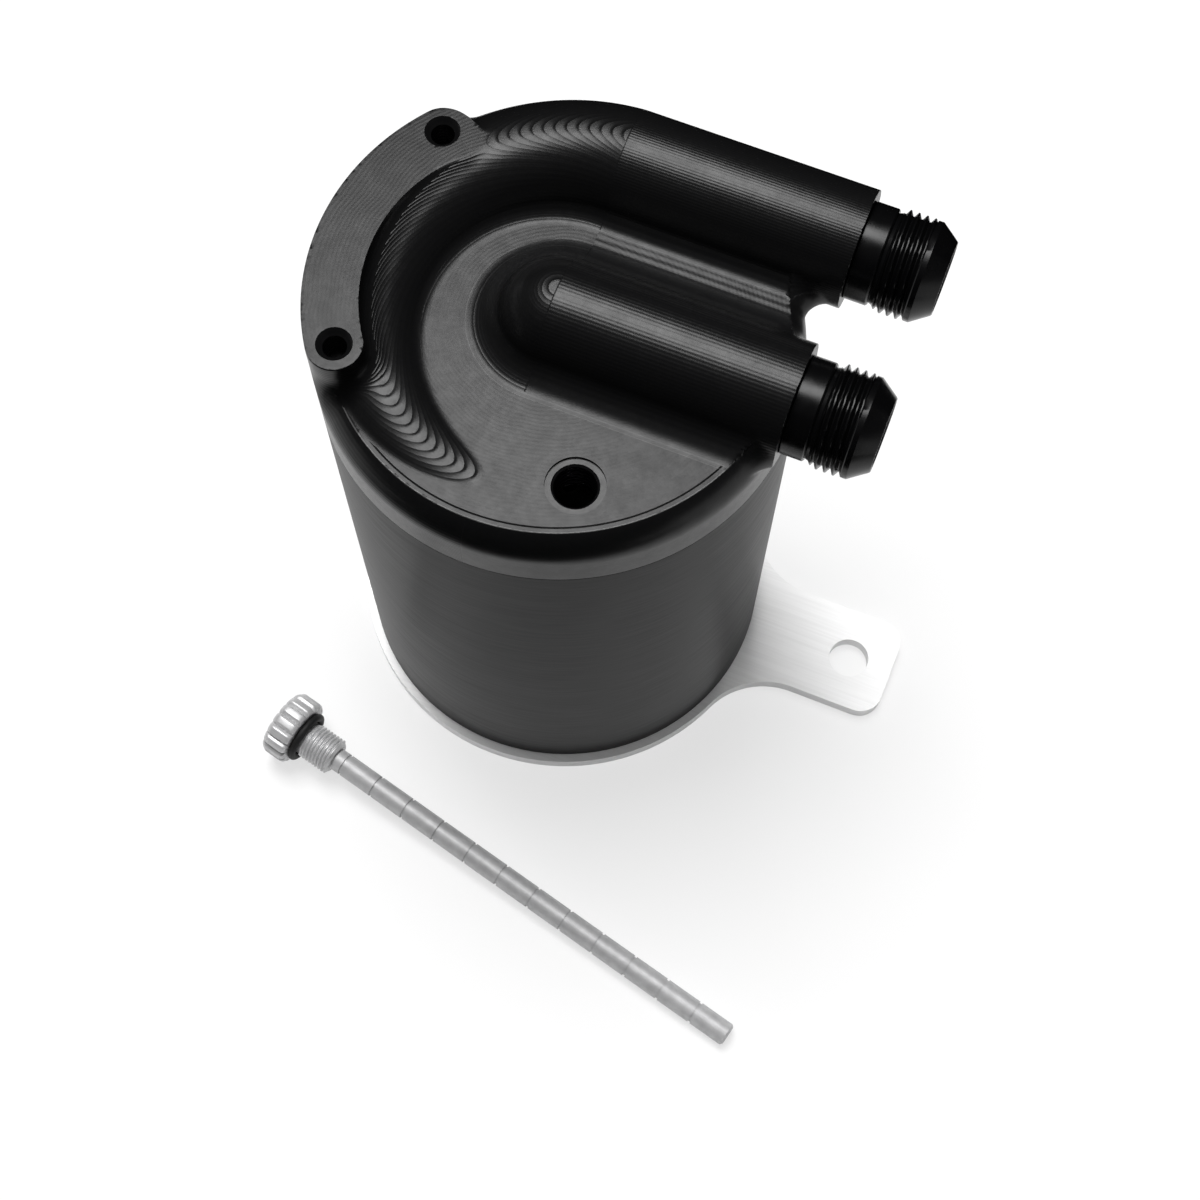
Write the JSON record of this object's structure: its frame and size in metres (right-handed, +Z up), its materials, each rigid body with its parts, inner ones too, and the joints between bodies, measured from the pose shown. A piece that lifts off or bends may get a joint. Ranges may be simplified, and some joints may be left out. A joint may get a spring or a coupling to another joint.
{
  "type": "oil catch can",
  "caption": "Round aluminium oil catch can with a milled screw-on lid, inlet ramp and outlet tube with flare fittings, a flat bolt-down bracket and a dipstick laid beside it.",
  "frame": {"origin": "on the can's axis, at the underside of the bracket", "axes": "+Z up along the can's axis; +X along the two hose fittings, towards their noses; the inlet is on the +Y side"},
  "size_m": [0.1456, 0.1572, 0.1569],
  "materials": {
    "brushed_bracket": "brushed bare aluminium plate",
    "anodised_cup": "satin black anodised, turned",
    "anodised_lid": "satin black anodised, milled",
    "anodised_fitting": "smooth black anodised",
    "bare_aluminium": "bare turned aluminium",
    "stick_aluminium": "matte bare aluminium",
    "steel_screw": "plated steel",
    "rubber": "matte black rubber"
  },
  "bodies": {
    "cup": {"cup": "anodised_cup", "mounting_bracket": "brushed_bracket", "bracket_screw_1": "steel_screw", "bracket_screw_2": "steel_screw", "bracket_screw_3": "steel_screw", "bracket_screw_4": "steel_screw", "dipstick_knob": "stick_aluminium", "dipstick_rod": "stick_aluminium", "dipstick_seal": "rubber"},
    "lid_seal": {"lid_seal": "rubber"},
    "lid": {"lid": "anodised_lid", "inlet_fitting": "anodised_fitting", "outlet_fitting": "anodised_fitting", "inlet_seal": "rubber", "outlet_seal": "rubber", "outlet_tube": "bare_aluminium", "baffle_plate": "bare_aluminium", "baffle_post_1": "bare_aluminium", "baffle_post_2": "bare_aluminium", "baffle_post_3": "bare_aluminium", "baffle_screw_1": "steel_screw", "baffle_screw_2": "steel_screw", "baffle_screw_3": "steel_screw"}
  },
  "joints": [
    {"name": "lid_rise", "type": "slide", "parent": "cup", "child": "lid_seal", "axis": [0, 0, 1], "range_m": [0, 0.008]},
    {"name": "lid_turn", "type": "hinge", "parent": "lid_seal", "child": "lid", "pos_m": [0, 0, 0.1284], "axis": [0, 0, 1], "range_deg": [0, 1440]}
  ],
  "couplings": [
    {"joint": "lid_rise", "follows": "lid_turn", "m_per_rad": 0.00031831}
  ]
}
